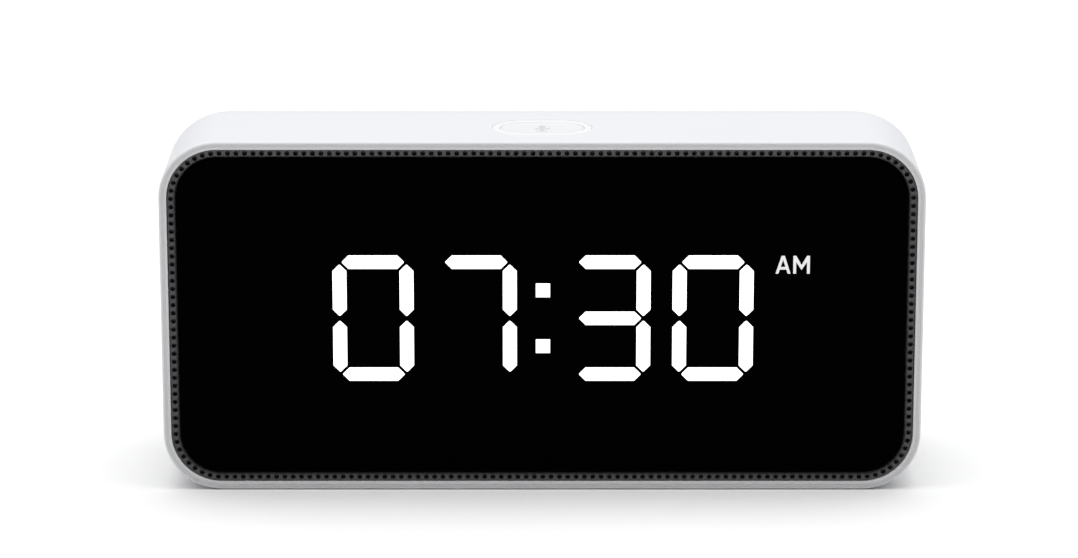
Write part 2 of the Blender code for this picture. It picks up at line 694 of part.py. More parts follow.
def speaker():
    centre = (0, SPEAKER_Z)
    rim = SPEAKER_RADIUS

    # Motor: a steel cup round a magnet with a pole plate on it.
    turned_object("magnet_cup", [
        (0, 22.0), (9.4, 22.0), (10.0, 22.6), (10.0, 29.6), (7.7, 29.6), (7.7, 23.8), (0, 23.8)],
        centre, steel())
    turned_object("magnet", [(0, 24.0), (5.6, 24.0), (5.6, 27.7), (0, 27.7)], centre, steel())
    turned_object("pole_plate", [(0, 27.9), (6.0, 27.9), (6.0, 29.5), (0, 29.5)], centre, steel())

    # Basket: grips the cup, flares out to the mounting flange and has four windows.
    basket = turned_object("speaker_basket", [
        (10.3, 26.0), (11.7, 26.0), (11.7, 29.4), (rim - 1.4, 34.8), (rim - 1.4, 36.0), (rim, 36.0),
        (rim, 37.8), (rim - 3.0, 37.8), (rim - 3.0, 35.6), (10.3, 30.4)],
        centre, black_plastic(), closed=True)
    ears = bmesh.new()
    for x, z in speaker_screw_places():
        prism(ears, circle(3.1, (x, z), SMALL_STEPS), depth(37.35), depth(38.6))
    combine(basket, ears, "UNION")
    cuts = bmesh.new()
    for quarter in range(4):
        angle = math.radians(90 * quarter)
        x, z = 14.2 * math.cos(angle), SPEAKER_Z + 14.2 * math.sin(angle)
        prism(cuts, circle(3.4, (x, z), SMALL_STEPS), depth(28), depth(34.4))
    for x, z in speaker_screw_places():
        prism(cuts, circle(1.1, (x, z), 8), depth(36.5), depth(40))
    combine(basket, cuts, "DIFFERENCE")

    turned_object("speaker_gasket", [
        (rim - 2.8, 38.0), (rim - 1.0, 38.0), (rim - 1.0, 42.2), (rim - 2.8, 42.2)],
        centre, rubber(), closed=True)
    turned_object("cone_surround", [
        (rim - 5.0, 37.3), (rim - 4.3, 38.4), (rim - 3.8, 38.4), (rim - 3.2, 37.3),
        (rim - 3.2, 36.9), (rim - 3.9, 37.8), (rim - 4.2, 37.8), (rim - 5.0, 36.9)],
        centre, rubber(), closed=True)

    # Moving part: coil, cone and dust cap, on an empty at the middle of the cone.
    axis = bpy.data.objects.new("cone_axis", None)
    axis.location = Vector((0, depth(34.0), SPEAKER_Z)) * MM
    bpy.context.scene.collection.objects.link(axis)
    moving = [
        turned_object("voice_coil", [(6.5, 25.6), (7.1, 25.6), (7.1, 32.0), (6.5, 32.0)], centre, copper(),
                      closed=True),
        turned_object("speaker_cone", [
            (6.6, 32.2), (7.3, 32.2), (rim - 5.4, 36.6), (rim - 5.4, 37.2), (6.6, 32.9)],
            centre, cone_paper(), closed=True),
        turned_object("dust_cap", [
            (0, 35.4), (3.5, 35.1), (6.2, 34.0), (6.4, 33.4), (5.9, 33.4), (3.3, 34.7), (0, 35.0)],
            centre, cone_paper()),
    ]
    for piece in moving:
        piece.parent = axis
        piece.matrix_parent_inverse = Matrix.Translation(-axis.location)


# --- microphones, aerial and leads ----------------------------------------------------------------
def microphones():
    """Two microphones that hear through the trim's holes, each on a small board in a rubber boot."""
    z = MICROPHONE_Z - 0.5
    for side, name in ((-1, "left"), (1, "right")):
        x = side * MICROPHONE_X
        outer = rounded_rectangle(6.4, 4.6, 1.0, 2)
        bm = bmesh.new()
        prism(bm, [(a + x, b + z) for a, b in outer], depth(4.45), depth(5.5))
        boot = new_object(f"microphone_boot_{name}", bm, rubber())
        port = bmesh.new()
        prism(port, circle(0.7, (x, MICROPHONE_Z), 8), depth(3), depth(7))
        combine(boot, port, "DIFFERENCE")
        bm = bmesh.new()
        box(bm, (x - 6, depth(5.65), z - 3), (x + 6, depth(6.65), z + 3))
        board = new_object(f"microphone_{name}", bm, board_green())
        capsule = bmesh.new()
        box(capsule, (x - 2, depth(6.4), z - 1.5), (x + 2, depth(7.7), z + 1.5))
        combine(board, capsule, "UNION")


def aerial():
    bm = bmesh.new()
    edge = WIDTH / 2 - WALL
    box(bm, (edge - 0.6, depth(9), 24), (edge - 0.25, depth(17), 52))
    new_object("wifi_aerial", bm, copper())


def smooth_route(points, count):
    """Evenly spread points on a smooth curve through the given ones."""
    route = []
    for step in range(count):
        place = step * (len(points) - 1) / (count - 1)
        i = min(int(place), len(points) - 2)
        t = place - i
        before, start = Vector(points[max(i - 1, 0)]), Vector(points[i])
        end, after = Vector(points[i + 1]), Vector(points[min(i + 2, len(points) - 1)])
        linear = (end - before) * t
        squared = (2 * before - 5 * start + 4 * end - after) * t**2
        cubed = (3 * start - before - 3 * end + after) * t**3
        route.append(start + 0.5 * (linear + squared + cubed))
    return route


def lead(name, points, radius, count):
    curve = bpy.data.curves.new(name, "CURVE")
    curve.dimensions = "3D"
    curve.bevel_depth = radius * MM
    curve.bevel_resolution = 2
    curve.use_fill_caps = True
    spline = curve.splines.new("POLY")
    route = smooth_route(points, count)
    spline.points.add(len(route) - 1)
    for point, place in zip(spline.points, route):
        point.co = (*(place * MM), 1)
    curve.materials.append(cable_skin())
    bpy.context.scene.collection.objects.link(bpy.data.objects.new(name, curve))


def ribbon(name, route, x_low, x_high, thickness):
    """A flat cable: the route's (depth, height) points are its middle line."""
    points = [Vector((0, depth(t), z)) for t, z in route]
    side = []
    for i, point in enumerate(points):
        run = (points[min(i + 1, len(points) - 1)] - points[max(i - 1, 0)]).normalized()
        side.append(Vector((0, -run.z, run.y)) * thickness / 2)
    outline = [p + s for p, s in zip(points, side)] + [p - s for p, s in zip(points[::-1], side[::-1])]
    bm = bmesh.new()
    skin(bm, [[Vector((x, p.y, p.z)) for p in outline] for x in (x_low, x_high)])
    new_object(name, bm, cable_skin())


def leads():
    lead("speaker_lead", [
        (-10, depth(32.5), 24.4), (-11.2, depth(31), 22.2), (-12.8, depth(30), 19.5),
        (-14, depth(29.5), 16.8), (-14.4, depth(29.3), 15.0)], 0.6, 8)
    lead("aerial_lead", [
        (70.2, depth(13), 23.6), (68.5, depth(14), 20.5), (62, depth(17), 18.4), (50, depth(20), 17.4),
        (41, depth(22.5), 16.5), (38.2, depth(24), 15.6)], 0.5, 16)
    lead("button_lead", [
        (-12.6, depth(12), 55.6), (-17, depth(13), 54.5), (-27, depth(14.5), 48), (-33, depth(15.5), 36),
        (-35.5, depth(16), 24), (-36, depth(16.4), 18), (-36, depth(16.6), 15.0)], 0.6, 22)
    ribbon("display_ribbon", [
        (11.15, 24.0), (11.6, 22.8), (12.1, 21.0), (12.8, 18.9), (14.0, 17.1), (15.6, 15.8), (17.4, 15.1)],
        -8, 8, 0.3)


def build():
    for thing in list(bpy.data.objects):
        bpy.data.objects.remove(thing)
    housing_shell()
    foot_pad()
    trim_and_panel()
    chassis()
    display()
    main_board()
    button()
    speaker()
    microphones()
    aerial()
    leads()
    screws()


build()
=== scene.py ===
"""Looks of the bedside alarm clock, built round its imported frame.

Lengths are in millimetres until piece() scales them to metres. X is the width, +Y points back, +Z up.
depth(t) is the Y of a point t behind the front rim, and an outline is a list of (x, z) or (x, y) points.
An inset is a distance in from the case's front outline.
"""

import json
import math

import bmesh
import bpy
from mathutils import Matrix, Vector


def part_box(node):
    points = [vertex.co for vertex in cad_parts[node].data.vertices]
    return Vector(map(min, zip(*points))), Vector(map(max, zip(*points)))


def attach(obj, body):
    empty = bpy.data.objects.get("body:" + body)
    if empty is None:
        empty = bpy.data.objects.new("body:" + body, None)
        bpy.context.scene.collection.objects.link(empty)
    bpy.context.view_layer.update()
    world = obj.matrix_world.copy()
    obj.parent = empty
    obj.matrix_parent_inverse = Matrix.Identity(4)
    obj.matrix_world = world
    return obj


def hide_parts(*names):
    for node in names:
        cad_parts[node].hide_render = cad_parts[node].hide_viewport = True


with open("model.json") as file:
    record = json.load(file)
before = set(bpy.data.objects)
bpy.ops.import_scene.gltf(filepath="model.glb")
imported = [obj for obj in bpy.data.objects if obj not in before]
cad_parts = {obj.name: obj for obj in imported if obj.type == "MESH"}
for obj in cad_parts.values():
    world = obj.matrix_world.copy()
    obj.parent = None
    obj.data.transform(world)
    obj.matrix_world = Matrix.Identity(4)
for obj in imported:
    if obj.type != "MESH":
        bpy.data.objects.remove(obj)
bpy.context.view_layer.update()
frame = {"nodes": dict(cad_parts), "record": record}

MM = 0.001


def box_mm(node):
    low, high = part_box(node)
    return low / MM, high / MM


# --- sizes that come from the frame ---------------------------------------------------------------
CASE_LOW, CASE_HIGH = box_mm("housing_shell")
PANEL_LOW, PANEL_HIGH = box_mm("front_panel")
TRIM_LOW, TRIM_HIGH = box_mm("perforated_trim")
RING_LOW, RING_HIGH = box_mm("button_light_ring")
CAP_LOW, CAP_HIGH = box_mm("button_cap")
FOOT_LOW, FOOT_HIGH = box_mm("foot_pad")
SOCKET_LOW, SOCKET_HIGH = box_mm("power_socket")
SPEAKER_LOW, SPEAKER_HIGH = box_mm("speaker_gasket")
DIGITS = [box_mm(f"digit_{number}_light_guide") for number in (1, 2, 3, 4)]

WIDTH = CASE_HIGH.x - CASE_LOW.x
HEIGHT = CASE_HIGH.z - CASE_LOW.z
DEPTH = CASE_HIGH.y - CASE_LOW.y
TOP, BOTTOM = CASE_HIGH.z, CASE_LOW.z
MIDDLE_Z = (TOP + BOTTOM) / 2
DISPLAY_Z = (DIGITS[0][0].z + DIGITS[0][1].z) / 2
SOCKET_Z = (SOCKET_LOW.z + SOCKET_HIGH.z) / 2
SPEAKER_Z = (SPEAKER_LOW.z + SPEAKER_HIGH.z) / 2
FOOT_MIDDLE = (0, (FOOT_LOW.y + FOOT_HIGH.y) / 2)
BUTTON_MIDDLE = (0, (RING_LOW.y + RING_HIGH.y) / 2)

TRIM_INSET = CASE_HIGH.x - TRIM_HIGH.x
PANEL_INSET = CASE_HIGH.x - PANEL_HIGH.x
TRIM_FRONT = TRIM_LOW.y - CASE_LOW.y
PANEL_FRONT = PANEL_LOW.y - CASE_LOW.y

# --- sizes of the case ----------------------------------------------------------------------------
CORNER = 11.1
WALL = 1.5
RIM_ROUND = 0.5
BEZEL_SPLIT = 0.95  # inset where the rim's outer band meets its inner one
BEZEL_DEPTH = 0.5
BEZEL_EDGE = 0.06
BACK_START = 23.5  # how far back the straight sides reach
BACK_INSET = 13.0
BACK_CORNER_GROWTH = 0.25
ARC_STEPS = 20

GRILLE_PITCH = 4.0
GRILLE_HOLE = 1.0
GRILLE_HALF_LENGTH = 24.0
GRILLE_HALF_HEIGHT = 10.5
GRILLE_EASE = 0.15
POCKET = (12.6, 7.4)
POCKET_CORNER = 2.2
POCKET_FLOOR = 39.5
POCKET_WALL = 0.9
POCKET_EDGE = ((0, 0.35), (0.1, 0.1), (0.36, -0.01))  # (outward, in from the back) of its eased edge
POCKET_GAP = 0.02  # between the pocket's hole in the shell and the tub in it
SOCKET_SLOT = (9.8, 4.0)
FOOT_CORNER = 4.0
FOOT_GAP = 0.15
FOOT_SOFT = 0.3
GROOVE_PITCH = 3.2
GROOVE_DEPTH = 0.25
GROOVE_BREADTH = 1.0
GROOVE_END = 8.0  # from the end of a groove to the end of the foot
PAST = 1.0  # how far a cutter reaches past the surface that it cuts
HAIR = 0.01  # a distance too small to see, which keeps two faces apart

# --- sizes of the front ---------------------------------------------------------------------------
HOLE_PITCH = 1.6
HOLE_RADIUS = 0.46
HOLE_INSET = 2.32
HOLE_DEPTH = 1.3
HOLE_EDGE = 0.05  # breadth of a hole's eased edge
HOLE_SINK = 0.06  # depth of a hole's eased edge
HOLE_SIDES = 4  # points on each side of the square patch round a hole
TRIM_SEAM = 0.06
FALL_START = 2.4  # inset where the perforated band begins to fall away towards the panel
FALL_END = PANEL_INSET - 0.1
FALL = 1.0
PANEL_SOFT = 0.25

BAR_X = 6.36
BAR_Z = 11.03
BAR_WIDTH = 2.65
BAR_GAP = 0.52
BAR_BLUNT = 0.12
COLON_X = 0.15
COLON_RISE = 5.5
COLON_SIDE = 2.7
LIT_FRONT = 0.03  # how far a lit bar stands out of the panel
LIT_SUNK = 0.12
LETTER_BASE = DISPLAY_Z + 8.78
LETTER_HEIGHT = 3.5
LETTER_STROKE = 0.55
A_LEFT, A_RIGHT = 44.25, 47.1
A_SHOULDER = 0.3  # half the width of the A's flat top
A_BAR = (0.8, 1.32)
M_LEFT, M_RIGHT = 47.6, 50.75
M_DIP = (0.72, 1.7)
M_SHOULDER = 1.2

# --- sizes of the button --------------------------------------------------------------------------
RING_COLLAR = 1.7  # how far the light ring's hidden collar reaches past its visible outline
RING_COLLAR_HEIGHT = 0.8
RING_SOFT = 0.12
SEAM = 0.04  # gap round the light ring and round the button
BUTTON_EASE = 0.1
CAP_FLANGE = 0.95
CAP_FLANGE_TOP = CAP_HIGH.z - 2.72
CAP_FLANGE_HEIGHT = 0.9
CAP_STEM = 2.2
CAP_SOFT = 0.3
CAP_DISH = 0.12  # how far the button's middle is sunk, over CAP_DISH_RUN from its edge
CAP_DISH_RUN = 2.0
RING_BAND = (RING_HIGH.x - RING_LOW.x - CAP_HIGH.x + CAP_LOW.x) / 2 - RING_COLLAR + CAP_FLANGE - SEAM
MARK_SIZE = 5.0

# --- room and camera ------------------------------------------------------------------------------
TABLE_SIZE = 6000
ROOM_LIGHT = 0.08
# Each light: azimuth (0 is behind the clock), elevation, spread across and up (all in degrees), strength.
SKY_LIGHTS = (
    (0, 87, 24.0, 18.0, 4.9),
    (90, 25, 12.0, 14.0, 1.0),
    (-90, 25, 12.0, 14.0, 1.0),
)
CAMERA_PLACE = Vector((-0.6, CASE_LOW.y - 789.0, 250.6))
CAMERA_DOWN = 14.817
CAMERA_LENS = 143.73


def depth(t):
    return CASE_LOW.y + t


# --- materials ------------------------------------------------------------------------------------
def new_material(name):
    """An empty material with its node tree and Principled shader."""
    made = bpy.data.materials.new(name)
    made.use_nodes = True
    return made, made.node_tree.nodes, made.node_tree.links


def noise(nodes, links, coordinates, size, detail=3.0):
    """Noise with features about size millimetres across."""
    texture = nodes.new("ShaderNodeTexNoise")
    texture.inputs["Scale"].default_value = 1 / (size * MM)
    texture.inputs["Detail"].default_value = detail
    links.new(coordinates, texture.inputs["Vector"])
    return texture.outputs["Fac"]


def spread(nodes, links, value, low, high):
    """Maps a noise's usual range onto low to high."""
    node = nodes.new("ShaderNodeMapRange")
    node.inputs["From Min"].default_value = 0.3
    node.inputs["From Max"].default_value = 0.7
    node.inputs["To Min"].default_value = low
    node.inputs["To Max"].default_value = high
    links.new(value, node.inputs["Value"])
    return node.outputs["Result"]


def moulded(name, colour, roughness, grain=0.25, height=0.004, mottle=0.03, polish=0.05, **sockets):
    """Moulded plastic or rubber: a fine grain, a broad mottle in its colour and a slightly uneven gloss."""
    made, nodes, links = new_material(name)
    shader = nodes["Principled BSDF"]
    coordinates = nodes.new("ShaderNodeTexCoord").outputs["Object"]
    broad = noise(nodes, links, coordinates, 22.0, 2.0)
    fine = noise(nodes, links, coordinates, grain)

    mix = nodes.new("ShaderNodeMix")
    mix.data_type = "RGBA"
    mix.inputs["A"].default_value = (*[c * (1 - mottle) for c in colour], 1)
    mix.inputs["B"].default_value = (*[min(c * (1 + mottle), 1) for c in colour], 1)
    links.new(spread(nodes, links, broad, 0, 1), mix.inputs["Factor"])
    links.new(mix.outputs["Result"], shader.inputs["Base Color"])
    gloss = spread(nodes, links, fine, roughness - polish, roughness + polish)
    links.new(gloss, shader.inputs["Roughness"])

    bump = nodes.new("ShaderNodeBump")
    bump.inputs["Distance"].default_value = height * MM
    bump.inputs["Strength"].default_value = 1.0
    links.new(fine, bump.inputs["Height"])
    links.new(bump.outputs["Normal"], shader.inputs["Normal"])
    for socket, value in sockets.items():
        shader.inputs[socket.replace("_", " ")].default_value = value
    return made


def brushed(name, colour, roughness, grain=0.08):
    """Plain metal with fine drawn lines along X."""
    made, nodes, links = new_material(name)
    shader = nodes["Principled BSDF"]
    shader.inputs["Metallic"].default_value = 1.0
    coordinates = nodes.new("ShaderNodeTexCoord").outputs["Object"]
    stretch = nodes.new("ShaderNodeMapping")
    stretch.inputs["Scale"].default_value = (0.04, 1, 1)
    links.new(coordinates, stretch.inputs["Vector"])
    lines = noise(nodes, links, stretch.outputs["Vector"], grain, 4.0)
    mix = nodes.new("ShaderNodeMix")
    mix.data_type = "RGBA"
    mix.inputs["A"].default_value = (*[c * 0.9 for c in colour], 1)
    mix.inputs["B"].default_value = (*colour, 1)
    links.new(lines, mix.inputs["Factor"])
    links.new(mix.outputs["Result"], shader.inputs["Base Color"])
    links.new(spread(nodes, links, lines, roughness - 0.06, roughness + 0.08), shader.inputs["Roughness"])
    bump = nodes.new("ShaderNodeBump")
    bump.inputs["Distance"].default_value = 0.002 * MM
    links.new(lines, bump.inputs["Height"])
    links.new(bump.outputs["Normal"], shader.inputs["Normal"])
    return made


def lit_plastic(name, strength):
    """A bar of the display: an even white glow through the panel's polished face."""
    made, nodes, links = new_material(name)
    shader = nodes["Principled BSDF"]
    shader.inputs["Base Color"].default_value = (0.3, 0.3, 0.3, 1)
    shader.inputs["Emission Color"].default_value = (1, 1, 1, 1)
    coordinates = nodes.new("ShaderNodeTexCoord").outputs["Object"]
    uneven = noise(nodes, links, coordinates, 3.0, 1.0)
    links.new(spread(nodes, links, uneven, strength, strength * 1.06), shader.inputs["Emission Strength"])
    links.new(spread(nodes, links, uneven, 0.2, 0.3), shader.inputs["Roughness"])
    return made


def solder_mask():
    """Circuit board: green lacquer over a faint web of tracks."""
    made, nodes, links = new_material("circuit_board")
    shader = nodes["Principled BSDF"]
    coordinates = nodes.new("ShaderNodeTexCoord").outputs["Object"]
    tracks = nodes.new("ShaderNodeTexBrick")
    tracks.inputs["Scale"].default_value = 1 / (6 * MM)
    tracks.inputs["Mortar Size"].default_value = 0.04
    tracks.inputs["Color1"].default_value = (0.012, 0.1, 0.045, 1)
    tracks.inputs["Color2"].default_value = (0.015, 0.115, 0.05, 1)
    tracks.inputs["Mortar"].default_value = (0.05, 0.22, 0.09, 1)
    links.new(coordinates, tracks.inputs["Vector"])
    links.new(tracks.outputs["Color"], shader.inputs["Base Color"])
    lacquer = noise(nodes, links, coordinates, 2.0)
    links.new(spread(nodes, links, lacquer, 0.3, 0.42), shader.inputs["Roughness"])
    bump = nodes.new("ShaderNodeBump")
    bump.inputs["Distance"].default_value = 0.02 * MM
    links.new(tracks.outputs["Fac"], bump.inputs["Height"])
    links.new(bump.outputs["Normal"], shader.inputs["Normal"])
    return made


WHITE = moulded(
    "case_white", (0.688, 0.693, 0.716), 0.45, mottle=0.006, height=0.0015, Specular_IOR_Level=0.15)
# Painted shade: the rim's front is the case's white plastic, made greyer in two bands (the outer one
# darker) to stand in for the shade on its forward-facing face.
BEZEL_OUTER_PAINTED_SHADE = moulded("bezel_outer_painted_shade", (0.61, 0.61, 0.62), 0.45, mottle=0.006, height=0.0015)
BEZEL_INNER_PAINTED_SHADE = moulded("bezel_inner_painted_shade", (0.66, 0.66, 0.67), 0.45, mottle=0.006, height=0.0015)
CAP_WHITE = moulded(
    "cap_white", (0.7, 0.703, 0.715), 0.45, mottle=0.006, height=0.002, Specular_IOR_Level=0.15)
TRIM_GREY = moulded("trim_grey", (0.06, 0.06, 0.063), 0.5, grain=0.12, height=0.006)
PANEL_BLACK = moulded("panel_black", (0.0002, 0.0002, 0.0002), 0.09, polish=0.02, height=0.0002, IOR=1.04)
LIT = lit_plastic("lit_segment", 1.47)
LIT_SMALL = lit_plastic("lit_small", 0.56)
# Painted glow: the faint emission lifts the light ring a little above the case's white.
RING_WHITE_PAINTED_GLOW = moulded(
    "light_ring_white_painted_glow", (0.75, 0.753, 0.763), 0.35, mottle=0.004, height=0.001,
    Specular_IOR_Level=0.15, Emission_Color=(1, 1, 1, 1), Emission_Strength=0.03)
MARK_GREY = moulded("mark_grey", (0.56, 0.56, 0.57), 0.5, height=0.002)
TABLE_WHITE = moulded("table_white", (0.83, 0.83, 0.83), 0.9, mottle=0.002)
FOOT_GREY = moulded("foot_rubber", (0.3, 0.3, 0.31), 0.75, grain=0.4, height=0.02)
INNER_BLACK = moulded("inner_black", (0.018, 0.018, 0.019), 0.55)
MILKY = moulded("milky_guide", (0.9, 0.9, 0.88), 0.45)
STEEL = brushed("steel", (0.6, 0.6, 0.62), 0.3)
MAGNET = moulded("magnet_grey", (0.12, 0.12, 0.125), 0.55, grain=0.15, height=0.01, Metallic=0.6)
COPPER = brushed("copper", (0.8, 0.42, 0.24), 0.32)
PAPER = moulded("cone_paper", (0.028, 0.028, 0.03), 0.85, grain=0.35, height=0.03, mottle=0.15)
CABLE = moulded("cable_skin", (0.03, 0.03, 0.033), 0.45)
BOARD = solder_mask()

SLOT_MATERIALS = {
    "case": WHITE,
    "trim": TRIM_GREY,
    "smoked_panel": PANEL_BLACK,
    "button": CAP_WHITE,
    "light_ring": RING_WHITE_PAINTED_GLOW,
    "light_guide": MILKY,
    "foot_rubber": FOOT_GREY,
    "black_inner": INNER_BLACK,
    "circuit_board": BOARD,
    "steel": STEEL,
    "magnet": MAGNET,
    "copper": COPPER,
    "cone": PAPER,
    "cable": CABLE,
}


def paint_carried_nodes():
    """Each CAD node that stays in view takes the finished material of its slot."""
    for row in frame["record"]["subparts"]:
        slots = frame["nodes"][row["node"]].data.materials
        slots.clear()
        slots.append(SLOT_MATERIALS[row["material_slot"]])


# --- mesh helpers ---------------------------------------------------------------------------------
def piece(name, bm, finish, smooth_angle=35.0):
    """Turns a bmesh in millimetres into an object in metres, smooth except at sharp edges."""
    bmesh.ops.recalc_face_normals(bm, faces=bm.faces)
    bmesh.ops.scale(bm, vec=(MM, MM, MM), verts=bm.verts)
    mesh = bpy.data.meshes.new(name)
    bm.to_mesh(mesh)
    bm.free()
    mesh.shade_smooth()
    mesh.set_sharp_from_angle(angle=math.radians(smooth_angle))
    mesh.materials.append(finish)
    made = bpy.data.objects.new(name, mesh)
    bpy.context.scene.collection.objects.link(made)
    return made


def settle(obj, smooth_angle=35.0):
    """Applies the modifiers, removes the helpers they used and evens the shading."""
    bpy.context.view_layer.update()
    graph = bpy.context.evaluated_depsgraph_get()
    mesh = bpy.data.meshes.new_from_object(obj.evaluated_get(graph))
    helpers = [modifier.object for modifier in obj.modifiers]
    obj.modifiers.clear()
    obj.data = mesh
    for helper in helpers:
        bpy.data.objects.remove(helper)
    mesh.shade_smooth()
    mesh.set_sharp_from_angle(angle=math.radians(smooth_angle))
    even_shading(obj)


def even_shading(obj):
    """Lets the large faces decide the shading, so that flat ones look flat."""
    even = obj.modifiers.new("even_shading", "WEIGHTED_NORMAL")
    even.keep_sharp = True
    even.weight = 90


def cut(target, bm):
    """Takes the bmesh's solids out of the target, once settle() is called."""
    tool = piece(f"{target.name}_cutter", bm, INNER_BLACK)
    tool.hide_render = True
    modifier = target.modifiers.new("cut", "BOOLEAN")
    modifier.operation = "DIFFERENCE"
    modifier.solver = "EXACT"
    modifier.use_self = True
    modifier.object = tool


def rounded_rectangle(width, height, radius, steps=ARC_STEPS):
    points = []
    corners = ((1, 1, 0), (-1, 1, 90), (-1, -1, 180), (1, -1, 270))
    for side, rise, start in corners:
        centre = (side * (width / 2 - radius), rise * (height / 2 - radius))
        for step in range(steps + 1):
            angle = math.radians(start + 90 * step / steps)
            points.append((centre[0] + radius * math.cos(angle), centre[1] + radius * math.sin(angle)))
    return points


def shifted(outline, centre):
    return [(a + centre[0], b + centre[1]) for a, b in outline]


def case_outline(inset, radius=None):
    radius = CORNER - inset if radius is None else radius
    flat = rounded_rectangle(WIDTH - 2 * inset, HEIGHT - 2 * inset, radius)
    return shifted(flat, (0, MIDDLE_Z))


def stadium(length, breadth, centre=(0, 0), steps=ARC_STEPS):
    return shifted(rounded_rectangle(length, breadth, breadth / 2 - 0.001, steps), centre)


def button_outline(inset):
    """The light ring's visible outline, drawn in by inset."""
    length = RING_HIGH.x - RING_LOW.x - 2 * RING_COLLAR
    breadth = RING_HIGH.y - RING_LOW.y - 2 * RING_COLLAR
    return stadium(length - 2 * inset, breadth - 2 * inset, BUTTON_MIDDLE)


def circle(radius, centre=(0, 0), steps=24):
    turns = [2 * math.pi * i / steps for i in range(steps)]
    return shifted([(radius * math.cos(turn), radius * math.sin(turn)) for turn in turns], centre)


def arc(radius, start, end, steps, centre=(0, 0)):
    """Points on an arc, from start to end in degrees."""
    turns = [math.radians(start + (end - start) * i / steps) for i in range(steps + 1)]
    return shifted([(radius * math.cos(turn), radius * math.sin(turn)) for turn in turns], centre)


def upright(outline, y):
    return [Vector((a, y, b)) for a, b in outline]


def level(outline, z):
    return [Vector((a, b, z)) for a, b in outline]


def skin(bm, loops, closed=False, caps=True):
    """Joins loops of points with quads. closed joins the last to the first, and caps fill the two ends."""
    rows = [[bm.verts.new(point) for point in points] for points in loops]
    pairs = list(zip(rows, rows[1:]))
    if closed:
        pairs.append((rows[-1], rows[0]))
    for first, second in pairs:
        for i in range(len(first)):
            bm.faces.new((first[i - 1], first[i], second[i], second[i - 1]))
    if caps and not closed:
        bm.faces.new(rows[0])
        bm.faces.new(rows[-1])


def quarter(steps):
    """(sine, 1 - cosine) of evenly spread angles from 0 to 90 degrees."""
    turns = [math.pi / 2 * i / steps for i in range(steps + 1)]
    return [(math.sin(turn), 1 - math.cos(turn)) for turn in turns]


# --- case -----------------------------------------------------------------------------------------
def back_loops(wall):
    """The rounded back, from where the sides end to the flat back, drawn in by the wall."""
    run = DEPTH - BACK_START - wall
    loops = []
    for sine, bulge in quarter(18):
        inset = (BACK_INSET - wall) * bulge + wall
        radius = CORNER - wall + BACK_CORNER_GROWTH * inset
        loops.append(upright(case_outline(inset, radius), depth(BACK_START + run * sine)))
    return loops


def pocket_outline(margin):
    across, up = POCKET
    outline = rounded_rectangle(across + 2 * margin, up + 2 * margin, POCKET_CORNER + margin, 8)
    return shifted(outline, (0, SOCKET_Z))


def foot_outline(inset):
    length, breadth = FOOT_HIGH.x - FOOT_LOW.x, FOOT_HIGH.y - FOOT_LOW.y
    flat = rounded_rectangle(length - 2 * inset, breadth - 2 * inset, FOOT_CORNER - inset, 10)
    return shifted(flat, FOOT_MIDDLE)


def grille_places():
    """Holes in staggered rows that fill an oval over the speaker."""
    places = []
    rise = GRILLE_PITCH * math.sin(math.radians(60))
    rows = int(GRILLE_HALF_HEIGHT / rise)
    for row in range(-rows, rows + 1):
        z = row * rise
        reach = GRILLE_HALF_LENGTH - GRILLE_HALF_HEIGHT
        reach += math.sqrt(GRILLE_HALF_HEIGHT**2 - z * z)
        shift = 0.5 * (row % 2)
        count = int(reach / GRILLE_PITCH)
        for column in range(-count - 1, count + 2):
            x = (column + shift) * GRILLE_PITCH
            if abs(x) <= reach:
                places.append((x, SPEAKER_Z + z))
    return places


def case_openings():
    """The solids cut out of the shell, for the button, the pocket, the speaker and the foot."""
    cuts = bmesh.new()
    skin(cuts, [
        level(button_outline(-SEAM), TOP - 4),
        level(button_outline(-SEAM), TOP - BUTTON_EASE),
        level(button_outline(-SEAM - BUTTON_EASE), TOP + HAIR),
        level(button_outline(-SEAM - BUTTON_EASE), TOP + PAST)])
    skin(cuts, [
        upright(pocket_outline(0), depth(POCKET_FLOOR)),
        *(upright(pocket_outline(out), depth(DEPTH - sunk)) for out, sunk in POCKET_EDGE),
        upright(pocket_outline(POCKET_EDGE[-1][0]), depth(DEPTH + PAST))])
    for place in grille_places():
        skin(cuts, [
            upright(circle(GRILLE_HOLE, place), depth(DEPTH - 3)),
            upright(circle(GRILLE_HOLE, place), depth(DEPTH - GRILLE_EASE)),
            upright(circle(GRILLE_HOLE + GRILLE_EASE, place), depth(DEPTH + HAIR)),
            upright(circle(GRILLE_HOLE + GRILLE_EASE, place), depth(DEPTH + PAST))])
    recess = foot_outline(-FOOT_GAP)
    skin(cuts, [level(recess, BOTTOM - PAST), level(recess, FOOT_HIGH.z + FOOT_GAP)])
    return cuts


def case_shell():
    """One moulded cup, open at the front, with a soft front edge and a full rounding towards the back."""
    outside = []
    for sine, bulge in quarter(8):
        outside.append(upright(case_outline(RIM_ROUND * (1 - sine)), depth(RIM_ROUND * bulge)))
    outside.append(upright(case_outline(0), depth(BACK_START * 0.5)))
    outside += back_loops(0)
    seat = [upright(case_outline(inset), depth(BEZEL_DEPTH)) for inset in (RIM_ROUND, WALL)]
    inside = seat + back_loops(WALL)
    bm = bmesh.new()
    skin(bm, inside[::-1] + outside)
    shell = piece("case_shell", bm, WHITE)
    cut(shell, case_openings())
    settle(shell)
    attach(shell, "case")
    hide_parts("housing_shell")


